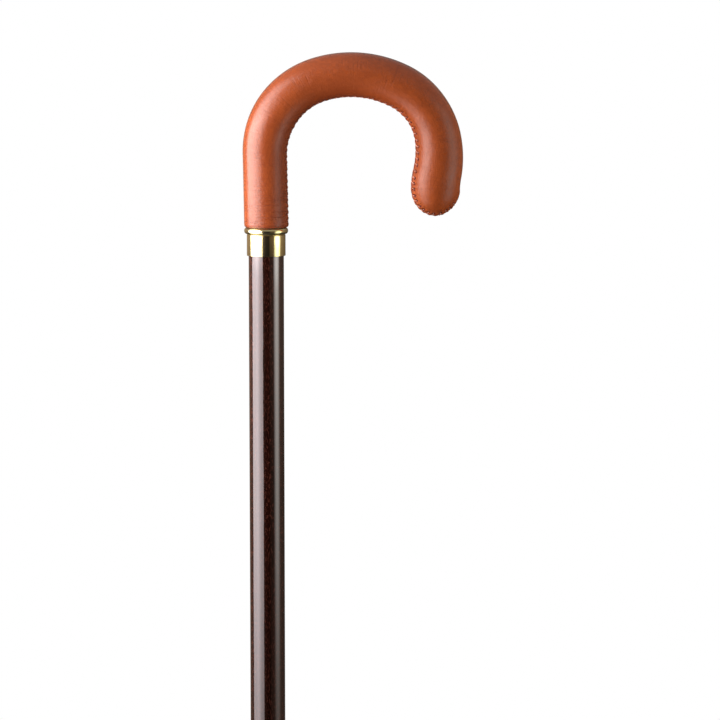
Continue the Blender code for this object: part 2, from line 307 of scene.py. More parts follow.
def bend(radius, degrees):
    """A bend's length and turn, from its radius in metres and its turn in degrees."""
    return radius * math.radians(abs(degrees)), math.radians(degrees)


STRETCHES = {
    "foot": (0.0015, 0.0),
    "lean": bend(0.3, -1.05),
    "grip": (0.0342, 0.0),
    "heel": bend(0.0433, 73.15),
    "crown": bend(0.0615, 44.05),
    "fall": bend(0.0404, 55.0),
    "drop": bend(0.0557, 20.55),
    "flare": bend(0.048, -8.6),
}
CROOK_LENGTH = sum(length for length, turn in STRETCHES.values())
NEAR_SIDE = np.array([0.0, -1.0, 0.0])


def centreline(distance):
    """Centre, way ahead and way to the hollow side: the sum of each stretch's chord up to there."""
    left = np.array(distance, float)
    x, z = np.zeros_like(left), np.full_like(left, CROOK_FOOT)
    heading = np.full_like(left, QUARTER)
    for length, turn in STRETCHES.values():
        run = np.clip(left, 0.0, length)
        part = turn * run / length
        chord = run * np.sinc(part / math.tau)
        x += chord * np.cos(heading - part / 2)
        z += chord * np.sin(heading - part / 2)
        heading -= part
        left -= run
    flat = np.zeros_like(x)
    ahead = np.stack([np.cos(heading), flat, np.sin(heading)], axis=-1)
    hollow = np.stack([np.sin(heading), flat, -np.cos(heading)], axis=-1)
    return np.stack([x, flat, z], axis=-1), ahead, hollow


print("crook length in mm:", in_mm(CROOK_LENGTH))

# %% [markdown]
# ## The shape of the leather
# The cover is a sleeve, 25 mm thick, that swells a little at the heel and opens to a bulb at the
# nose. Its lower edge is pared thin and turned in against the collar. A point of the sleeve is its
# place along the centreline and its angle round it. The nose is half an ellipsoid.

# %% Sleeve and nose
LEATHER = 0.0012
GRIP_RADIUS = 0.0125
NOSE_RADIUS = 0.01395
NOSE_DEPTH = 0.0164
SWELL_LENGTH = 0.05
SWELLS = ((0.04, 0.02, -0.00008), (0.064, 0.018, 0.0003))
SKIVED_EDGE = 0.00045
TUCK_LENGTH = 0.0022


def ease(share):
    """An ease from 0 to 1 with level ends: 3 t squared less 2 t cubed."""
    share = np.clip(share, 0.0, 1.0)
    return share * share * (3 - 2 * share)


def bell(value, width):
    """A bell curve: e to the power of minus the square of value over width."""
    return np.exp(-((value / width) ** 2))


def cover_radius(distance):
    """The grip's radius, eased out to the nose's, plus a bell for each (place, reach, height)."""
    bulb = ease((distance - CROOK_LENGTH + SWELL_LENGTH) / SWELL_LENGTH)
    swell = sum(height * bell(distance - place, reach) for place, reach, height in SWELLS)
    return GRIP_RADIUS + (NOSE_RADIUS - GRIP_RADIUS) * bulb + swell


def tuck(distance):
    """How far the lower edge is turned in: a quarter circle over the tuck's length."""
    rise = np.clip(1 - distance / TUCK_LENGTH, 0.0, 1.0)
    return (LEATHER - SKIVED_EDGE) * (1 - np.sqrt(1 - rise * rise))


def sleeve(distance, angle, lift):
    """Centre plus radius times (cos angle to the hollow side, sin angle to the near side)."""
    centre, _, hollow = centreline(distance)
    radius = (cover_radius(distance) + lift)[..., None]
    way_out = np.cos(angle)[..., None] * hollow + np.sin(angle)[..., None] * NEAR_SIDE
    return centre + radius * way_out


def nose(swing, latitude, lift):
    """Half an ellipsoid: swing runs from the hollow side over the tip, latitude to the near side."""
    centre, ahead, hollow = centreline(np.full(np.shape(swing), CROOK_LENGTH))
    radius = (NOSE_RADIUS + lift)[..., None]
    depth = (NOSE_DEPTH + lift)[..., None]
    across = radius * np.cos(swing)[..., None] * hollow
    along = depth * np.sin(swing)[..., None] * ahead
    near = radius * np.sin(latitude)[..., None] * NEAR_SIDE
    return centre + np.cos(latitude)[..., None] * (across + along) + near


print("grip and nose in mm:", in_mm(2 * GRIP_RADIUS), in_mm(2 * NOSE_RADIUS))

# %% [markdown]
# The hide's two edges meet on the hollow side. The seam turns toward us down the fall, runs over the
# nose and ends at its back. Stitches are spaced along it, so we measure its length first.

# %% Seam course
TURN_FOOT = math.radians(4.0)
TURN_NOSE = math.radians(17.0)
TURN_TIP = math.radians(14.0)
TURN_BACK = math.radians(9.0)
DRIFT_START = 0.1
SEAM_FADE = 0.003
SEAM_SAMPLES = 2001
STITCH_PITCH = 0.0035
THREAD_START = 0.0034


def seam_turn(distance):
    """The seam's angle on the sleeve: even at first, then eased to the nose's."""
    drift = ease((distance - DRIFT_START) / (CROOK_LENGTH - DRIFT_START))
    return TURN_FOOT + (TURN_NOSE - TURN_FOOT) * drift


def seam_latitude(swing):
    """The seam's latitude on the nose: eased to the tip, then to the back."""
    tip = TURN_NOSE + (TURN_TIP - TURN_NOSE) * ease(swing / QUARTER)
    return tip + (TURN_BACK - TURN_TIP) * ease(swing / QUARTER - 1)


def run_along(line):
    """The length along a line of points, from 0 at its first."""
    return np.append(0.0, np.cumsum(np.linalg.norm(np.diff(line, axis=0), axis=1)))


fine_distance = np.linspace(0.0, CROOK_LENGTH, SEAM_SAMPLES)
fine_swing = np.linspace(0.0, math.pi, SEAM_SAMPLES)
no_lift = np.zeros(SEAM_SAMPLES)
sleeve_run = run_along(sleeve(fine_distance, seam_turn(fine_distance), no_lift))
nose_run = run_along(nose(fine_swing, seam_latitude(fine_swing), no_lift))
SLEEVE_SEAM = sleeve_run[-1]
SEAM_LENGTH = SLEEVE_SEAM + nose_run[-1]
STITCHES = int((SEAM_LENGTH - THREAD_START - SEAM_FADE) / STITCH_PITCH)
print("seam in mm:", in_mm(SEAM_LENGTH), "with", STITCHES, "stitches")

# %% [markdown]
# The thread crosses the seam a little on the slant. Hand work is uneven: each stitch gets its own
# strength and a small slip along the seam from a seeded draw, which gives the same stitches in every
# run. Two spare ones are drawn.

# %% Stitch places
STITCH_REACH = 0.0027
STITCH_SLANT = 0.0012
SLANT_LIMIT = 1.5
SEED = 11
STRENGTH_SPREAD = 0.22
SLIP_SPREAD = 0.0002

draw = np.random.default_rng(SEED)
drawn = STITCHES + 2
stitch_strength = 1.0 + STRENGTH_SPREAD * draw.standard_normal(drawn)
stitch_slip = SLIP_SPREAD * draw.standard_normal(drawn)


def stitch_phase(along, side):
    """The nearest stitch's number, and the distance past its slanting line along the seam."""
    slant = STITCH_SLANT * np.clip(side / STITCH_REACH, -SLANT_LIMIT, SLANT_LIMIT) / 2
    straight = along - THREAD_START - slant
    number = np.clip(np.rint(straight / STITCH_PITCH), 0, STITCHES - 1).astype(int)
    return number, straight - number * STITCH_PITCH - stitch_slip[number]


def stitch_beat(past):
    """A cosine wave in time with the stitches: 1 at a stitch, 0 midway between two."""
    return 0.5 + 0.5 * np.cos(math.tau * np.clip(past / STITCH_PITCH, -0.5, 0.5))


def seam_share(along):
    """1 along the seam, eased to 0 over its last stretch."""
    return ease((SEAM_LENGTH - along) / SEAM_FADE)


print("stitch pitch in mm:", in_mm(STITCH_PITCH))

# %% [markdown]
# The edges of the hide are rolled under, so they meet as two soft lips with a narrow valley between.
# Each stitch runs over both lips from hole to hole. Pulled tight, it bites into them, the leather
# puffs up between stitches, and small puckers run on past the holes. We write this as a height over
# the smooth sleeve: a sum of bell curves, some beating in time with the stitches. The same curves
# give the painted shade: how dark the colour is painted in the holes, the valley and the gaps.

# %% Height and shade of the leather beside the seam
VALLEY_DEPTH = 0.0005
VALLEY_WIDTH = 0.0003
LIP_HEIGHT = 0.0002
LIP_PLACE = 0.001
LIP_WIDTH = 0.0012
PUFF_HEIGHT = 0.00034
PUFF_PLACE = 0.0009
PUFF_WIDTH = 0.0012
BITE_DEPTH = 0.00014
BITE_WIDTH = 0.00055
GATHER_DEPTH = 0.00014
GATHER_PLACE = 0.0042
GATHER_WIDTH = 0.0018
HOLE_DEPTH = 0.00065
HOLE_RADIUS = 0.00044
HOLE_STRETCH = 0.5
# From here on: spreads and strengths of the painted shade in holes, valley and gaps.
HOLE_SHADE_SPREAD = 1.6
VALLEY_SHADE = 0.7
VALLEY_SHADE_SPREAD = 1.3
GAP_SHADE = 0.45
GAP_WIDTH = 0.0009


def hole_bell(along, past, reach, spread=1.0):
    """A bell round each hole, wider toward the nose, where the leather is stretched most."""
    stretch = ease((along - DRIFT_START) / (SLEEVE_SEAM - DRIFT_START))
    width = spread * HOLE_RADIUS * (1 + HOLE_STRETCH * stretch)
    return bell(np.hypot(past, reach - STITCH_REACH), width)


def relief(along, side):
    """Height over the smooth sleeve at a length along the seam and beside it."""
    number, past = stitch_phase(along, side)
    strength = stitch_strength[number]
    between = strength * (0.5 - stitch_beat(past))
    reach = np.abs(side)
    valley = -VALLEY_DEPTH * bell(side, VALLEY_WIDTH)
    lip = LIP_HEIGHT * bell(reach - LIP_PLACE, LIP_WIDTH)
    puff = PUFF_HEIGHT * between * bell(reach - PUFF_PLACE, PUFF_WIDTH)
    under_stitch = ease((STITCH_REACH + BITE_WIDTH - reach) / (2 * BITE_WIDTH))
    bite = -BITE_DEPTH * strength * bell(past, BITE_WIDTH) * under_stitch
    gather = GATHER_DEPTH * between * bell(reach - GATHER_PLACE, GATHER_WIDTH)
    hole = -HOLE_DEPTH * hole_bell(along, past, reach)
    return seam_share(along) * (valley + lip + puff + bite + gather + hole)


def seam_shade(along, side):
    """Painted shade from 0 to 1: how deep in a hole, in the valley or between stitches a point lies."""
    _, past = stitch_phase(along, side)
    hole = hole_bell(along, past, np.abs(side), HOLE_SHADE_SPREAD)
    gap = GAP_SHADE * (1 - stitch_beat(past)) * bell(side, GAP_WIDTH)
    valley = VALLEY_SHADE * bell(side, VALLEY_SHADE_SPREAD * VALLEY_WIDTH)
    return seam_share(along) * np.clip(hole + gap + valley, 0.0, 1.0)


first_hole = relief(THREAD_START + STITCH_SLANT / 2 + stitch_slip[0], STITCH_REACH)
print("height at the first hole in mm:", in_mm(first_hole))

# %% [markdown]
# Columns crowd together beside the seam, where the relief is fine, and open out round the back. On
# the nose each keeps its share of the way from the seam to a pole, so all of them swing with the
# seam. Round the sleeve the same columns run on through the outer side.

# %% Columns
FINE_STEP = 0.00025
FINE_SIDE = 0.005
GROWTH = 1.3


def side_steps(far):
    """Distances from the seam to a pole: even and fine at first, then growing by a ratio."""
    steps = list(np.arange(0.0, FINE_SIDE, FINE_STEP))
    stride = FINE_STEP
    while steps[-1] + stride * GROWTH < far - stride:
        stride *= GROWTH
        steps.append(steps[-1] + stride)
    return np.array(steps + [far])


near_columns = side_steps((QUARTER - TURN_NOSE) * NOSE_RADIUS) / NOSE_RADIUS
far_columns = side_steps((QUARTER + TURN_NOSE) * NOSE_RADIUS) / NOSE_RADIUS
latitudes = np.concatenate([-far_columns[::-1], near_columns[1:]]) + TURN_NOSE
from_far_pole = (QUARTER + latitudes) / (QUARTER + TURN_NOSE)
from_near_pole = (QUARTER - latitudes) / (QUARTER - TURN_NOSE)
pole_share = np.minimum(from_far_pole, from_near_pole)


def moved_latitudes(turn):
    """The columns' latitudes with the seam at this turn: the poles stay, the rest follow."""
    return latitudes + (turn - TURN_NOSE) * pole_share


back_half = math.pi - moved_latitudes(TURN_BACK)[::-1]
ring = np.concatenate([latitudes, back_half[1:]])
print("columns:", len(latitudes), "on the nose and", len(ring), "round the sleeve")

# %% [markdown]
# Rows are spaced evenly along the seam. The inner side of the hide is a coarser copy, 1.2 mm further
# in, and the two meet round the lower edge, so the cover has a real thickness. Its points carry four
# values: the painted shade in holes, valley and gaps, edge at the turned-in end, hollow on the hollow
# side, and the painted shade under the crown.

# %% Leather cover
ROWS_PER_STITCH = 10
INNER_STEP = 12
# Where the painted shade under the crown lies along the crook.
CROWN_SHADE_PLACE = 0.105
CROWN_SHADE_REACH = 0.045
INSIDE = {"edge": 1.0, "hollow": 0.5, "palm": 0.0}


def wrapped(angle):
    """An angle brought between minus and plus half a turn."""
    return (angle + math.pi) % math.tau - math.pi


def add_side(cover, shape, places, lift, uv, inner, **values):
    """Add the hide's outer side with its values, or its inner side at an even depth."""
    if inner:
        lift, values = np.full_like(lift, -LEATHER), {"dark": 0.0, **INSIDE}
    cover.add(shape(*places, lift), uv, flip=inner, **values)


def sleeve_patch(cover, count, inner=False):
    """Add the sleeve's outer or inner side, from the collar to the nose."""
    along = np.linspace(0.0, SLEEVE_SEAM, count)
    distance = np.interp(along, sleeve_run, fine_distance)
    distance, angle = np.meshgrid(distance, ring, indexing="ij")
    along = np.repeat(along[:, None], len(ring), axis=1)
    angle = angle + seam_turn(distance) - TURN_NOSE
    uv = np.stack([ring[None, :] * GRIP_RADIUS + 0 * distance, distance], axis=-1)
    side = wrapped(angle - seam_turn(distance)) * cover_radius(distance)
    lift = relief(along, side) - tuck(distance)
    values = {"dark": seam_shade(along, side), "edge": 1 - ease(distance / TUCK_LENGTH)}
    values["hollow"] = 0.5 + 0.5 * np.cos(angle)
    values["palm"] = values["hollow"] * bell(distance - CROWN_SHADE_PLACE, CROWN_SHADE_REACH)
    add_side(cover, sleeve, (distance, angle), lift, uv, inner, **values)


def nose_patch(cover, count, inner=False):
    """Add the nose's outer or inner side: rows swing over the tip, columns run pole to pole."""
    along = np.linspace(0.0, nose_run[-1], count)
    swing = np.interp(along, nose_run, fine_swing)
    latitude = moved_latitudes(seam_latitude(swing)[:, None])
    swing = np.repeat(swing[:, None], len(latitudes), axis=1)
    along = SLEEVE_SEAM + np.repeat(along[:, None], len(latitudes), axis=1)
    uv = np.stack([latitude * GRIP_RADIUS, CROOK_LENGTH + swing * NOSE_RADIUS], axis=-1)
    side = (latitude - seam_latitude(swing)) * NOSE_RADIUS
    values = {"dark": seam_shade(along, side), "edge": 0.0, "palm": 0.0}
    values["hollow"] = 0.5 + 0.5 * np.cos(swing) * np.cos(latitude)
    add_side(cover, nose, (swing, latitude), relief(along, side), uv, inner, **values)


cover = Patchwork()
sleeve_count = round(SLEEVE_SEAM / STITCH_PITCH * ROWS_PER_STITCH)
nose_count = round(nose_run[-1] / STITCH_PITCH * ROWS_PER_STITCH)
sleeve_patch(cover, sleeve_count)
nose_patch(cover, nose_count)
sleeve_patch(cover, sleeve_count // INNER_STEP, inner=True)
nose_patch(cover, nose_count // INNER_STEP, inner=True)

rim_angle = ring + TURN_FOOT - TURN_NOSE
rim_start = np.zeros_like(rim_angle)
rim_side = wrapped(rim_angle - TURN_FOOT) * GRIP_RADIUS
inner_rim = sleeve(rim_start, rim_angle, rim_start - LEATHER)
outer_rim = sleeve(rim_start, rim_angle, relief(rim_start, rim_side) - tuck(rim_start))
# The cut rim at the lower edge is painted fully dark, as shade.
cover.add(np.stack([inner_rim, outer_rim]), np.zeros(2), dark=1.0, **INSIDE)
cover_mesh = cover.mesh("leather_cover_skin")
print("rows:", sleeve_count, "on the sleeve and", nose_count, "on the nose")

# %% [markdown]
# ## Smooth tan leather
# The hide is full-grain calf, dyed through and waxed. It has a fine pebbled grain, and faint creases
# run across the grip, more of them beside the collar; they are painted darker, as shade. The colour
# clouds softly and is darker on the lowest few centimetres of the grip and at the turned-in lower
# edge. Painted shade darkens it under the crown and dark red down in the stitch holes, the valley and
# the gaps between stitches, and painted light makes the hollow side of the tip paler. Wax shines on the
# outer side, as a coat layer over a duller one. On the hollow side it is worn off, except at the tip.

# %% Leather material
TAN = (0.335, 0.064, 0.014)
TAN_DEEP = (0.225, 0.04, 0.009)
# A darker tan for painted shade under the crown and in the creases, also for the pores and the low
# grip.
TAN_DARKER = (0.205, 0.035, 0.008)
# Two dark tans for painted shade in the seam's valley, gaps and holes; the first also darkens the
# turned-in edge.
TAN_BURNISHED_AND_SHADE = (0.2, 0.03, 0.009)
TAN_HOLE_SHADE = (0.085, 0.004, 0.002)
# A paler tan: painted light on the hollow side of the tip.
TAN_PAINTED_LIGHT = (0.42, 0.088, 0.023)
CLOUD_WAVES = 70.0
MOTTLE_WAVES = 520.0
PORE_WAVES = 1300.0
GRAIN_WAVES = 1500.0
CREASE_WAVES = (45.0, 900.0, 1.0)
CREASE_PATCH_WAVES = 90.0
CREASED_END = (0.004, 0.032)
DARKER_LOW_GRIP = (0.05, 0.08)
NOSE_TIP_SPAN = (0.18, 0.212)

leather, start, place, surface = new_material("tan_leather")
dark, edge, hollow, palm = [start.carried(name) for name in ("dark", "edge", "hollow", "palm")]
clouds = place.noise(CLOUD_WAVES, 4.0, 0.6).step(0.36, 0.64)
mottle = place.noise(MOTTLE_WAVES, 4.0, 0.65).step(0.32, 0.68)
pores = place.noise(PORE_WAVES, 2.0, 0.5).step(0.56, 0.7)
grain = {"Vector": place, "Scale": GRAIN_WAVES, "Smoothness": 0.3}
cells = place.node("TexVoronoi", grain, {"feature": "SMOOTH_F1"})
up_the_grip = surface.axis("Y")
tip = up_the_grip.step(*NOSE_TIP_SPAN)
creased = place.noise(CREASE_PATCH_WAVES, 1.0).step(0.44, 0.62) * 0.45
creased = (creased + (1 - up_the_grip.step(*CREASED_END))).clamped()
creases = surface.drawn_out(CREASE_WAVES, 3.0, 0.6).step(0.5, 0.64) * creased
tan = (clouds * 0.3 + mottle * 0.6).clamped().tint(TAN, TAN_DEEP)
# Painted shade under the crown, on its hollow side.
tan = (palm.step(0.35, 1.0) * 0.75).tint(tan, TAN_DARKER)
# Darker on the lowest few centimetres of the grip.
tan = (0.24 - up_the_grip.step(*DARKER_LOW_GRIP) * 0.24).tint(tan, TAN_DARKER)
# Painted light: the hollow side of the tip is paler.
tan = (tip * hollow.step(0.45, 0.7) * 0.4).tint(tan, TAN_PAINTED_LIGHT)
# Painted shade in the creases; the pores are darker grain.
tan = (creases * 0.72 + pores * 0.18).clamped().tint(tan, TAN_DARKER)
# Darker at the turned-in lower edge.
tan = (edge * 0.45).tint(tan, TAN_BURNISHED_AND_SHADE)
# Painted shade: darker in the seam's valley and gaps, dark red in the stitch holes.
tan = dark.step(0.15, 0.4).tint(tan, TAN_BURNISHED_AND_SHADE)
tan = dark.step(0.4, 0.75).tint(tan, TAN_HOLE_SHADE)
wax = (1 - hollow.step(0.62, 0.88)) * (1 - tip) + hollow.step(0.36, 0.62) * tip * 0.3
height = cells * -0.6 + mottle - pores * 0.25 - creases * 2.0
finish_material(
    start,
    Base_Color=tan,
    Roughness=0.19 + mottle * 0.06 + hollow * 0.16 + dark * 0.55,
    IOR=1.32,
    Coat_Weight=wax * (1 - dark.clamped()),
    Coat_Roughness=0.27,
    Coat_IOR=1.33,
    Normal=height.bump(0.0001, 0.8),
)
leather_cover = piece("leather_cover_skin", cover_mesh, leather, "tan_leather", "leather_cover")

# %% [markdown]
# A hide is a sheet: it was cut flat, skived at its edges, wrapped wet round the wood and sewn, and it
# dried tight. We work out how large the cut was: its length and its area.

# %% The cut of the hide
CUT_LENGTH = CROOK_LENGTH + QUARTER * (NOSE_RADIUS + NOSE_DEPTH) / 2
area = math.tau * (GRIP_RADIUS - LEATHER / 2) * CROOK_LENGTH + math.tau * NOSE_RADIUS**2

# %% [markdown]
# ## The stitches
# One waxed thread laces the two edges together. What shows is a bar at each pair of holes: up over a
# lip, across the valley in a straight pull, over the other lip and down. It dives just short of the
# middle of its holes, so that the dark hole still shows beyond it.

# %% Path of the thread
THREAD_REST = 0.00012
THREAD_DIVE = 0.0007
THREAD_RINGS = 23
DIVE_START = 0.84
HOLE_SHOWN = 0.0004
THREAD_SPAN = STITCH_REACH - HOLE_SHOWN
PROBE = 0.001


def seam_place(along, side, lift):
    """A point beside the seam, on the sleeve or, past its end, on the nose."""
    distance = np.interp(along, sleeve_run, fine_distance)
    on_sleeve = sleeve(distance, seam_turn(distance) + side / cover_radius(distance), lift)
    swing = np.interp(along - SLEEVE_SEAM, nose_run, fine_swing)
    on_nose = nose(swing, seam_latitude(swing) + side / NOSE_RADIUS, lift)
    return np.where((along > SLEEVE_SEAM)[..., None], on_nose, on_sleeve)


def unit(way):
    """A way of length 1: the way over its own length."""
    return way / np.linalg.norm(way, axis=-1, keepdims=True)


share = np.linspace(-1.0, 1.0, THREAD_RINGS)
middle = THREAD_START + np.arange(STITCHES) * STITCH_PITCH + stitch_slip[:STITCHES]
along = middle[:, None] + STITCH_SLANT / 2 * THREAD_SPAN / STITCH_REACH * share[None, :]
side = THREAD_SPAN * share[None, :] + 0 * along
bridged = np.where(share < 0, -1, 1) * np.maximum(np.abs(share), LIP_PLACE / THREAD_SPAN)
ground = relief(along, THREAD_SPAN * bridged[None, :] + 0 * along)
dive = THREAD_DIVE * ease((np.abs(share) - DIVE_START) / (1 - DIVE_START))
lift = np.maximum(ground, -HOLE_DEPTH / 2) + THREAD_REST - dive[None, :]
line = seam_place(along, side, lift)
outward = unit(seam_place(along, side, lift + PROBE) - line)
ahead = unit(np.gradient(line, axis=1))
across = unit(np.cross(ahead, outward))
up = np.cross(across, ahead)
print("one bar of thread in mm:", in_mm(run_along(line[0])[-1]))

# %% [markdown]
# Each bar is a tube: a ring of points at each step of the path, the cosine upward and the sine
# across. Two strands lie side by side in it, so the ring has a waist that turns as we go along. The
# end rings shrink to a point, which closes the bar.

# %% Thread
THREAD_RADIUS = 0.00026
THREAD_SIDES = 8
PLY_TURNS = 6.0
PLY_WAIST = 0.8
PLY_SWELL = 0.2

turn = np.linspace(0.0, math.tau, THREAD_SIDES + 1)
twist = turn[None, :] - math.pi * PLY_TURNS * share[:, None]
strand = np.abs(np.cos(twist))
section = THREAD_RADIUS * (PLY_WAIST + PLY_SWELL * strand)
section[[0, -1], :] = 0.0
uv = np.stack(np.meshgrid(share * STITCH_REACH, turn * THREAD_RADIUS, indexing="ij"), axis=-1)
cosine, sine = np.cos(turn)[None, :, None], np.sin(turn)[None, :, None]
stitches = Patchwork()
for bar, bar_up, bar_across in zip(line, up, across):
    loop = cosine * bar_up[:, None, :] + sine * bar_across[:, None, :]
    stitches.add(bar[:, None, :] + section[:, :, None] * loop, uv, ply=strand)
stitch_mesh = stitches.mesh("seam_stitches")
print("rings in a bar of thread:", THREAD_RINGS, "with", THREAD_SIDES, "sides")

# %% [markdown]
# The thread is a pinkish tan, paler than the leather. The groove between its two strands is painted
# dark as shade, and wax gives its crown a dull shine.

# %% Thread material
# The groove colour is painted shade between the two strands.
THREAD_GROOVE_SHADE = (0.26, 0.085, 0.05)
THREAD_CROWN = (0.68, 0.29, 0.21)
FIBRE_WAVES = 6000.0

thread, start, place, surface = new_material("waxed_thread")
ply = start.carried("ply")
fibre = place.noise(FIBRE_WAVES)
# Painted shade in the groove between the strands.
colour = (ply.step(0.15, 0.8) * 0.8 + fibre * 0.3).clamped().tint(THREAD_GROOVE_SHADE, THREAD_CROWN)
normal = (ply + fibre * 0.6).bump(0.00008, 0.6)
finish_material(start, Base_Color=colour, Roughness=0.62 - ply * 0.12, Normal=normal)
piece("seam_stitches", stitch_mesh, thread, "waxed_thread", "seam_thread")

# %% [markdown]
# ## Turned pieces
# The shaft, the collar and the ferrule were shaped on a lathe or in a round mould. Each is a profile
# of radius and height carried round the stick's axis. The CAD solids have 32 flats round them, which
# a mirror finish would show, so ours have 160.

# %% Turning a profile
TURNED_COLUMNS = 160


def turned(name, profile, closed=False, columns=TURNED_COLUMNS):
    """A mesh from a profile of (radius, height) points carried once round the Z axis."""
    profile = np.array(profile + profile[:1] if closed else profile)
    angle = np.linspace(0.0, math.tau, columns + 1)
    radius, height = profile[:, 0, None], profile[:, 1, None]
    points = np.stack([radius * np.cos(angle), radius * np.sin(angle), height + 0 * angle], axis=-1)
    run = run_along(profile)[:, None]
    uv = np.stack([angle * np.abs(radius).max() + 0 * run, run + 0 * angle], axis=-1)
    patch = Patchwork()
    patch.add(points, uv)
    return patch.mesh(name)


def arc(centre, radii, first, last, steps):
    """Points on part of an ellipse round a centre, from one angle to another."""
    angle = np.linspace(first, last, steps + 1)
    return [(centre[0] + radii[0] * math.cos(a), centre[1] + radii[1] * math.sin(a)) for a in angle]


print("columns round a turned piece:", TURNED_COLUMNS)

# %% [markdown]
# ## The brass collar
# A thin spun band hides the joint. A rounded bead stiffens its upper edge, and a fine neck sets
# the bead off from the band. The band's lower edge is broken so that it doesn't catch.

# %% Collar
SHAFT_FOOT = 0.0138
SHAFT_LENGTH = 0.8
JOINT_HEIGHT = SHAFT_FOOT + SHAFT_LENGTH
COLLAR_LAP = 0.0064
COLLAR_FOOT = JOINT_HEIGHT - COLLAR_LAP
COLLAR_HEIGHT = 0.016
COLLAR_BORE = 0.0103
BAND = 0.011
BAND_EDGE = 0.0003
BEAD_HEIGHT = 0.0036
BEAD_REACH = 0.0015
BEAD_STEPS = 20
NECK_DEPTH = 0.0002
NECK_HEIGHT = 0.0006
NECK_STEPS = 6
EDGE_STEPS = 5

collar_top = COLLAR_FOOT + COLLAR_HEIGHT
bead = (BAND, collar_top - BEAD_HEIGHT / 2)
neck_height = collar_top - BEAD_HEIGHT - NECK_HEIGHT / 2
edge_centre = (BAND - BAND_EDGE, COLLAR_FOOT + BAND_EDGE)
profile = [(COLLAR_BORE, collar_top)]
profile += arc(bead, (BEAD_REACH, BEAD_HEIGHT / 2), QUARTER, -QUARTER, BEAD_STEPS)
profile += arc((BAND, neck_height), (-NECK_DEPTH, NECK_HEIGHT / 2), QUARTER, -QUARTER, NECK_STEPS)
profile += arc(edge_centre, (BAND_EDGE, BAND_EDGE), 0.0, -QUARTER, EDGE_STEPS)
profile += [(COLLAR_BORE, COLLAR_FOOT)]
collar_mesh = turned("brass_collar", profile, closed=True)
print("collar in mm:", in_mm(COLLAR_HEIGHT), "high,", in_mm(2 * (BAND + BEAD_REACH)), "over the bead")

# %% [markdown]
# ## Polished brass
# Buffed brass is a warm mirror. The wheel leaves hair-fine rings round the band, hands leave slightly
# duller patches, and the neck under the bead holds a trace of tarnish. A thin clear lacquer keeps the
# rest bright: it is the coat layer, and lays a faint pale haze over the mirror.

# %% Brass material
BRASS = (0.9, 0.76, 0.37)
BRASS_TARNISH = (0.5, 0.33, 0.12)
RING_WAVES = (40.0, 9000.0, 1.0)
SMEAR_WAVES = 260.0

brass, start, place, surface = new_material("polished_brass")
rings = surface.drawn_out(RING_WAVES, 2.0, 0.6)
smears = place.noise(SMEAR_WAVES, 3.0, 0.6).step(0.4, 0.66)
from_neck = (place.axis("Z") - neck_height) / NECK_HEIGHT
neck = (1 - from_neck.math("ABSOLUTE", from_neck)).clamped()
colour = (neck * 0.7 + smears * 0.1).clamped().tint(BRASS, BRASS_TARNISH)
finish_material(
    start,
    Base_Color=colour,
    Metallic=1.0,
    Roughness=0.07 + smears * 0.05 + neck * 0.2,
    Coat_Weight=0.6,
    Coat_Roughness=0.32,
    Coat_IOR=1.5,
    Normal=rings.bump(0.000004, 0.4),
)
piece("brass_collar", collar_mesh, brass, "polished_brass", "collar")

# %% [markdown]
# ## The shaft
# A beech dowel, turned parallel at the top and tapered below to fit the ferrule. Its upper end is
# drilled for the stud, and the drill's point leaves a cone at the bottom of the bore.

# %% Shaft
SHAFT_RADIUS = 0.01
TIP_RADIUS = 0.0085
TIP_LENGTH = 0.034
TAPER_LENGTH = 0.42
TIP_CHAMFER = 0.001
BORE_RADIUS = 0.0043
BORE_DEPTH = 0.0303
DRILL_POINT = math.radians(31)
SHAFT_ROWS = 14

bore_floor = JOINT_HEIGHT - BORE_DEPTH
taper_foot = SHAFT_FOOT + TIP_LENGTH
taper = np.linspace(1.0, 0.0, SHAFT_ROWS)[1:]
taper_radii = TIP_RADIUS + (SHAFT_RADIUS - TIP_RADIUS) * taper
profile = [(0.0, bore_floor - BORE_RADIUS * math.tan(DRILL_POINT))]
profile += [(BORE_RADIUS, bore_floor), (BORE_RADIUS, JOINT_HEIGHT)]
profile += [(SHAFT_RADIUS, z) for z in np.linspace(JOINT_HEIGHT, taper_foot + TAPER_LENGTH, SHAFT_ROWS)]
profile += list(zip(taper_radii, taper_foot + TAPER_LENGTH * taper))
profile += [(TIP_RADIUS, SHAFT_FOOT + TIP_CHAMFER)]
profile += [(TIP_RADIUS - TIP_CHAMFER, SHAFT_FOOT), (0.0, SHAFT_FOOT)]
shaft_mesh = turned("lacquered_shaft", profile)
print("shaft in mm:", in_mm(SHAFT_LENGTH), "long,", in_mm(2 * SHAFT_RADIUS), "thick")

# %% [markdown]
# ## Rosewood stain under lacquer
# The stain is almost black with red in it. Beech's short flecks run with the stick and take stain
# differently, so the colour streaks along Z and the flecks gather in bands. One glossy layer with a
# high index stands for several coats of lacquer rubbed to a mirror. The grain tells through them, so
# the reflections waver a little along their edges.

# %% Lacquer material
STAIN_DARK = (0.003, 0.0006, 0.0003)
STAIN_RED = (0.017, 0.0027, 0.0014)
STAIN_FLECK = (0.1, 0.027, 0.017)
LACQUER_TINT = (1.0, 0.87, 0.89, 1.0)
STREAK_WAVES = (700.0, 700.0, 26.0)
BAND_WAVES = (190.0, 190.0, 5.0)
FLECK_WAVES = (2300.0, 2300.0, 420.0)
WAVER_WAVES = (260.0, 260.0, 9.0)

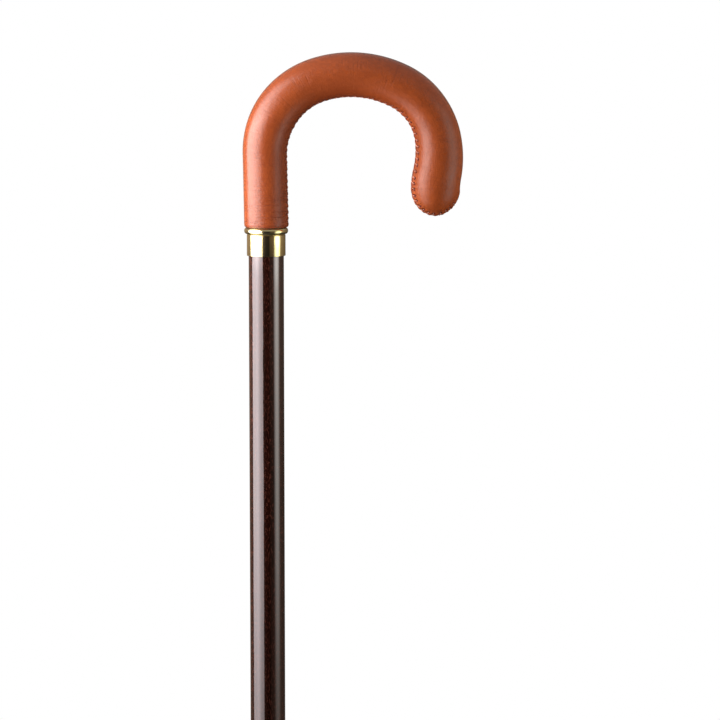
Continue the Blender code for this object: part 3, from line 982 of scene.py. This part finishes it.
lacquer, start, place, surface = new_material("dark_lacquer")
streaks = place.drawn_out(STREAK_WAVES, 4.0, 0.6).step(0.34, 0.66)
bands = place.drawn_out(BAND_WAVES).step(0.35, 0.65)
flecks = place.drawn_out(FLECK_WAVES).step(0.55, 0.65)
colour = (streaks * 0.65 + bands * 0.35).clamped().tint(STAIN_DARK, STAIN_RED)
colour = (flecks * (bands * 0.55 + 0.4)).clamped().tint(colour, STAIN_FLECK)
waver = streaks * 0.6 + place.drawn_out(WAVER_WAVES, 1.0) * 1.4
finish_material(
    start,
    Base_Color=colour,
    Roughness=0.05 + streaks * 0.04,
    IOR=2.15,
    Specular_Tint=LACQUER_TINT,
    Normal=waver.bump(0.00002, 0.5),
)
piece("lacquered_shaft", shaft_mesh, lacquer, "dark_lacquer", "shaft")

# %% [markdown]
# ## The rubber ferrule
# The foot is moulded rubber: a socket with a beaded mouth, a skirt that flares to a wide sole, and
# rings cut in the sole for grip. It is a push fit on the tapered tip.

# %% Ferrule
FERRULE_HEIGHT = 0.038
FERRULE_FLOOR = 0.012
SOCKET = 0.0088
FERRULE_WALL = 0.003
MOUTH_BEAD_REACH = 0.001
MOUTH_BEAD_HALF = 0.002
MOUTH_CHAMFER = 0.0008
SOLE_RADIUS = 0.0155
SOLE_SIDE = 0.006
SOLE_EDGE = 0.001
SKIRT_HEIGHT = 0.01
SOLE_DISC_RADIUS = 0.0042
SOLE_GROOVES = 3
GROOVE_WIDTH = 0.0014
GROOVE_DEPTH = 0.0015
ROUND_STEPS = 16
SOLE_EDGE_STEPS = 6

wall = SOCKET + FERRULE_WALL
reach = SOLE_RADIUS - SOLE_EDGE
mouth = (wall, FERRULE_HEIGHT - MOUTH_BEAD_HALF)
skirt_top = (SOLE_RADIUS, SOLE_SIDE + SKIRT_HEIGHT)
skirt = (wall - SOLE_RADIUS, -SKIRT_HEIGHT)
profile = [
    (0.0, FERRULE_FLOOR),
    (SOCKET, FERRULE_FLOOR),
    (SOCKET, FERRULE_HEIGHT - MOUTH_CHAMFER),
    (SOCKET + MOUTH_CHAMFER, FERRULE_HEIGHT),
]
profile += arc(mouth, (MOUTH_BEAD_REACH, MOUTH_BEAD_HALF), QUARTER, -QUARTER, ROUND_STEPS)
profile += arc(skirt_top, skirt, 0.0, QUARTER, ROUND_STEPS)
profile += arc((reach, SOLE_EDGE), (SOLE_EDGE, SOLE_EDGE), 0.0, -QUARTER, SOLE_EDGE_STEPS)
rib = (SOLE_RADIUS - SOLE_EDGE - SOLE_DISC_RADIUS) / SOLE_GROOVES - GROOVE_WIDTH
for _ in range(SOLE_GROOVES):
    outer, inner = reach - rib, reach - rib - GROOVE_WIDTH
    profile += [(outer, 0.0), (outer, GROOVE_DEPTH), (inner, GROOVE_DEPTH), (inner, 0.0)]
    reach -= rib + GROOVE_WIDTH
profile += [(0.0, 0.0)]
ferrule_mesh = turned("rubber_ferrule", profile)
print("ferrule in mm:", in_mm(FERRULE_HEIGHT), "high,", in_mm(2 * SOLE_RADIUS), "over the sole")

# %% [markdown]
# Rubber is nearly black, dull, and dusty where it meets the ground. Its mould was sparked, which
# leaves an even fine pebble, and the lowest few millimetres are scuffed grey.

# %% Rubber material
RUBBER_BLACK = (0.011, 0.011, 0.0115)
RUBBER_DUST = (0.085, 0.078, 0.068)
PEBBLE_WAVES = 2600.0
DUST_WAVES = 240.0
SCUFF_HEIGHT = 0.007

rubber, start, place, surface = new_material("black_rubber")
pebble = place.noise(PEBBLE_WAVES, 3.0, 0.6)
dust = place.noise(DUST_WAVES, 4.0, 0.65).step(0.46, 0.66)
low = 1 - place.axis("Z").step(0.0, SCUFF_HEIGHT)
scuff = (low * 0.7 + dust * 0.6).clamped()
colour = (scuff * 0.6 + pebble * 0.2).clamped().tint(RUBBER_BLACK, RUBBER_DUST)
normal = (pebble + scuff * 0.8).bump(0.00012, 0.8)
finish_material(start, Base_Color=colour, Roughness=0.58 + scuff * 0.26, Normal=normal)
piece("rubber_ferrule", ferrule_mesh, rubber, "black_rubber", "ferrule")

# %% [markdown]
# The bent core, the stud and the washer are out of sight and keep their CAD shapes, but each still
# gets the finish of its stuff: bare beech with its flecks, and bright zinc on turned steel.

# %% Finishes of the hidden pieces
BEECH_PALE = (0.6, 0.41, 0.24)
BEECH_RING = (0.47, 0.29, 0.15)
BEECH_FLECK = (0.3, 0.16, 0.08)
BEECH_FLECK_WAVES = (900.0, 900.0, 900.0)
BEECH_RING_WAVES = (140.0, 420.0, 140.0)
ZINC_BRIGHT = (0.62, 0.62, 0.6)
ZINC_BLOOM = (0.5, 0.51, 0.52)
BLOOM_WAVES = 500.0
LATHE_WAVES = (60.0, 60.0, 5000.0)

beech, start, place, surface = new_material("bare_beech")
rays = place.drawn_out(BEECH_FLECK_WAVES, 3.0).step(0.58, 0.66)
growth = place.drawn_out(BEECH_RING_WAVES, 3.0).step(0.35, 0.65)
colour = (rays * 0.6).tint(growth.tint(BEECH_PALE, BEECH_RING), BEECH_FLECK)
rough = 0.62 + rays * 0.1
finish_material(start, Base_Color=colour, Roughness=rough, Normal=growth.bump(0.00005, 0.4))

zinc, start, place, surface = new_material("zinc_steel")
bloom = place.noise(BLOOM_WAVES, 3.0).step(0.4, 0.65)
lathe_rings = place.drawn_out(LATHE_WAVES)
colour = bloom.tint(ZINC_BRIGHT, ZINC_BLOOM)
normal = lathe_rings.bump(0.00001, 0.5)
finish_material(start, Base_Color=colour, Metallic=1.0, Roughness=0.28 + bloom * 0.15, Normal=normal)

for node, material in (("crook_core", beech), ("joint_stud", zinc), ("ferrule_washer", zinc)):
    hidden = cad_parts[node]
    hidden.data.materials.clear()
    hidden.data.materials.append(material)
    print(node, "wears", material.name)

# %% [markdown]
# ## Floor and background
# The photograph has a pure white ground. The pale floor glows a little for the camera, so that it
# clips to white, and past its rim it melts into the white world. Light Path tells which rays ask:
# camera, mirror and glass rays see white, and the light that bounces gets a calmer grey.

# %% Floor and world
FLOOR_RADIUS = 1.25
FLOOR_FADE = 0.75
FLOOR_ROWS = 12
FLOOR_COLUMNS = 72
FLOOR_COLOUR = (0.8, 0.8, 0.79)
FLOOR_CLOUD = (0.78, 0.78, 0.775)
FLOOR_CLOUD_WAVES = 35.0
FLOOR_BOUNCE = (0.07, 0.07, 0.07)
FLOOR_GLOW = 0.3
WORLD_LIGHT = 0.08
WHITE_LIGHT = (1.0, 1.0, 1.0, 1.0)


def asked_by(start, *kinds):
    """1 for rays of any of these kinds and 0 for all others."""
    asked = [start.node("LightPath", out="Is " + kind + " Ray") for kind in kinds]
    return sum(asked[1:], asked[0]).clamped()


def on_stage(name, mesh, material):
    """Put a mesh in the scene as floor or backdrop."""
    made = put_in_scene(name, mesh)
    mesh.materials.append(material)
    return made


floor_material, start, place, surface = new_material("pale_floor")
radius = place.node("VectorMath", {0: place}, {"operation": "LENGTH"}, out="Value")
paper = place.noise(FLOOR_CLOUD_WAVES, 3.0).tint(FLOOR_COLOUR, FLOOR_CLOUD)
paper = start.node("LightPath", out="Is Diffuse Ray").tint(paper, FLOOR_BOUNCE)
glow = asked_by(start, "Camera", "Glossy", "Transmission") * FLOOR_GLOW
matt = start.node("BsdfDiffuse", {"Color": paper})
light = start.node("Emission", {"Color": WHITE_LIGHT, "Strength": glow})
both = start.node("AddShader", {0: matt, 1: light})
gone = start.node("BsdfTransparent")
melted = {0: radius.step(FLOOR_FADE, FLOOR_RADIUS), 1: both, 2: gone}
shader = start.node("MixShader", melted)
start.node("OutputMaterial", {"Surface": shader})

floor_profile = [(r, 0.0) for r in np.linspace(0.0, FLOOR_RADIUS, FLOOR_ROWS)]
on_stage("floor", turned("floor", floor_profile, columns=FLOOR_COLUMNS), floor_material)

world = bpy.data.worlds.new("white_room")
bpy.context.scene.world = world
world.use_nodes = True
world.node_tree.nodes.clear()
start = Wire(world.node_tree)
strength = WORLD_LIGHT + asked_by(start, "Camera", "Glossy", "Transmission") * (1 - WORLD_LIGHT)
air = start.node("Background", {"Color": WHITE_LIGHT, "Strength": strength})
start.node("OutputWorld", {"Surface": air})
print("floor radius in m:", FLOOR_RADIUS)

# %% [markdown]
# A glossy round bar shows its surroundings as upright stripes, so lights and backdrop are laid out by
# the bearing round the stick: 0 toward the camera and positive to the camera's right. In a shader it
# is the arc tangent of x over minus y, as a share of the whole turn.

# %% Bearings and lamps
def direction(angle):
    """A level way out from the stick at a bearing in degrees."""
    turn = math.radians(angle)
    return math.sin(turn), -math.cos(turn)


def turn_share(angle):
    """A bearing from -180 to 180 degrees as a share of the whole turn, from 0 to 1."""
    return angle / 360 + 0.5


def bearing_and_height(place):
    """The bearing of a place, as a share of the whole turn, and its height."""
    x = place.axis("X")
    return x.math("ARCTAN2", x, place.axis("Y") * -1.0) / math.tau + 0.5, place.axis("Z")


def area_lamp(name, sides, radiance, middle, rotation):
    """A lamp that the camera doesn't see. Its power is radiance times pi times area."""
    width, height = sides
    made = put_in_scene(name, bpy.data.lights.new(name, "AREA"))
    made.data.shape = "RECTANGLE"
    made.data.size = width
    made.data.size_y = height
    made.data.energy = radiance * math.pi * width * height
    made.location = middle
    made.rotation_euler = rotation
    made.visible_camera = False
    print(name, "is", round(width, 2), "by", round(height, 2), "m")
    return made


print("the right side lies at", turn_share(90), "of the turn")

# %% [markdown]
# ## Soft boxes
# Each stripe in the photograph tells where a light stood: a wide soft box from beside the camera to
# the left, another that carries it upward, and a weaker, slightly greener one on the right. A soft box
# fades toward its edges, so each has a ramp of strength by bearing and another by height.

# %% Soft boxes
LEFT_LEVELS = (0.8, 0.86, 0.86, 0.91, 1.0, 0.98, 0.78, 0.61, 0.52, 0.48)
HIGH_LEVELS = (0.3, 0.8, 1.0, 1.0, 0.8, 0.4)
RIGHT_LEVELS = (0.02, 0.45, 0.85, 1.0, 1.0, 0.8, 0.4, 0.02)
LEFT_HEIGHTS = (
    (0.42, 0.2), (0.495, 0.265), (0.612, 0.4), (0.752, 0.47),
    (0.775, 0.5), (0.8, 0.9), (0.845, 1.05), (0.95, 1.0),
)
HIGH_HEIGHTS = ((0.95, 1.0), (1.12, 0.8), (1.3, 0.3))
RIGHT_HEIGHTS = (
    (0.38, 0.02), (0.48, 0.14), (0.6, 0.38), (0.749, 0.7), (0.765, 1.1),
    (0.78, 1.1), (0.796, 0.42), (0.84, 0.28), (0.9, 0.28), (1.05, 0.15),
)
WHITE = (1.0, 1.0, 1.0)
GREENISH = (1.0, 1.1, 1.02)


def soft_box(name, bearings, ends, radiance, levels, heights, colour=WHITE):
    """A lamp between two bearings, graded across and upward; ends are its ends' distances."""
    first, last = bearings
    low, high = heights[0][0], heights[-1][0]
    first_x, first_y = [ends[0] * way for way in direction(first)]
    last_x, last_y = [ends[1] * way for way in direction(last)]
    width = math.hypot(last_x - first_x, last_y - first_y)
    middle = ((first_x + last_x) / 2, (first_y + last_y) / 2, (low + high) / 2)
    rotation = (QUARTER, 0.0, math.atan2(last_y - first_y, last_x - first_x))
    lamp = area_lamp(name, (width, high - low), radiance, middle, rotation).data
    lamp.color = colour
    lamp.use_nodes = True
    lamp.node_tree.nodes.clear()
    start = Wire(lamp.node_tree)
    across, up = bearing_and_height(start.node("NewGeometry", out="Position"))
    places = np.linspace(turn_share(first), turn_share(last), len(levels))
    level = across.ramp([(float(at), (share,) * 3) for at, share in zip(places, levels)])
    fade = up.step(low, high).ramp([((z - low) / (high - low), (share,) * 3) for z, share in heights])
    light = level.node("VectorMath", {0: level, 1: fade}, {"operation": "MULTIPLY"})
    glow = start.node("Emission", {"Color": light})
    start.node("OutputLight", {"Surface": glow})


soft_box(
    "left_box", bearings=(-102.0, -21.5), ends=(0.36, 0.26), radiance=9.4,
    levels=LEFT_LEVELS, heights=LEFT_HEIGHTS,
)
soft_box(
    "high_box", bearings=(-106.0, -35.0), ends=(0.45, 0.36), radiance=8.0,
    levels=HIGH_LEVELS, heights=HIGH_HEIGHTS,
)
soft_box(
    "right_box", bearings=(48.0, 95.0), ends=(0.42, 0.42), radiance=3.1,
    levels=RIGHT_LEVELS, heights=RIGHT_HEIGHTS, colour=GREENISH,
)

# %% [markdown]
# A large panel overhead lights the crown and the floor, and one dim lamp far on the right stands for
# the weak light that white walls throw back. Both are too even to show as stripes, so mirror rays
# don't see them.

# %% Overhead panel and fill
PANEL_SIZE = (1.7, 1.7)
PANEL_PLACE = (0.0, 0.0, 2.2)
PANEL_LIGHT = 0.8
FILL_SIZE = (0.9, 0.9)
FILL_DISTANCE = 0.9
FILL_BEARING = 85.0
FILL_HEIGHT = 0.8
FILL_LIGHT = 1.7

panel = area_lamp("top_panel", PANEL_SIZE, PANEL_LIGHT, PANEL_PLACE, (0.0, 0.0, 0.0))
fill_x, fill_y = direction(FILL_BEARING)
fill_place = (FILL_DISTANCE * fill_x, FILL_DISTANCE * fill_y, FILL_HEIGHT)
fill_turn = (QUARTER, 0.0, math.radians(FILL_BEARING))
fill = area_lamp("right_fill", FILL_SIZE, FILL_LIGHT, fill_place, fill_turn)
panel.visible_glossy = False
fill.visible_glossy = False

# %% [markdown]
# ## The dim room round the stick
# Between the boxes the photograph's varnish and brass show a nearly black studio. A round tent of warm
# grey cloth does that, darker low down, with a dark hem and a paler roof. Only mirror rays see it: it
# sends the stick no soft light, throws no shadow, and the camera looks through it.

# %% Grey tent
TENT_RADIUS = 1.5
TENT_PROFILE = [(0.022, 0.004), (TENT_RADIUS, 0.004), (TENT_RADIUS, 2.0), (0.9, 2.6), (0.0, 2.7)]
TENT_COLOUR = (1.0, 0.76, 0.57)
TENT_LEVELS = (
    (-180.0, 0.36), (-125.0, 0.36), (-104.0, 0.27), (-22.0, 0.2), (-13.0, 0.06),
    (0.0, 0.025), (19.0, 0.02), (24.0, 0.09), (42.0, 0.13), (49.0, 0.2),
    (91.0, 0.44), (104.0, 0.28), (126.0, 0.18), (180.0, 0.1),
)
TENT_SHADE = 0.45
SHADE_HEIGHTS = (0.42, 0.66)
ROOF_COLOUR = (0.3, 0.3, 0.3)
ROOF_HEIGHTS = (1.2, 1.7)
HEM_COLOUR = (0.04, 0.04, 0.04)
HEM_HEIGHTS = (0.0, 0.15)
BLACK = (0.0, 0.0, 0.0)

tent_material, start, place, surface = new_material("grey_tent")
across, up = bearing_and_height(place)
tinted = [[level * share for share in TENT_COLOUR] for angle, level in TENT_LEVELS]
stops = [(turn_share(angle), colour) for (angle, level), colour in zip(TENT_LEVELS, tinted)]
shade = (1 - up.step(*SHADE_HEIGHTS)) * TENT_SHADE
cloth = shade.tint(across.ramp(stops), BLACK)
cloth = up.step(*ROOF_HEIGHTS).tint(cloth, ROOF_COLOUR)
cloth = up.step(*HEM_HEIGHTS).tint(HEM_COLOUR, cloth)
light = start.node("Emission", {"Color": cloth})
start.node("OutputMaterial", {"Surface": light})

tent = on_stage("grey_tent", turned("grey_tent", TENT_PROFILE), tent_material)
for ray in ("camera", "diffuse", "shadow", "transmission", "volume_scatter"):
    setattr(tent, "visible_" + ray, False)
print("tent radius in m:", TENT_RADIUS)

# %% [markdown]
# Standard view keeps the colours as they are written.

# %% View
bpy.context.scene.view_settings.view_transform = "Standard"
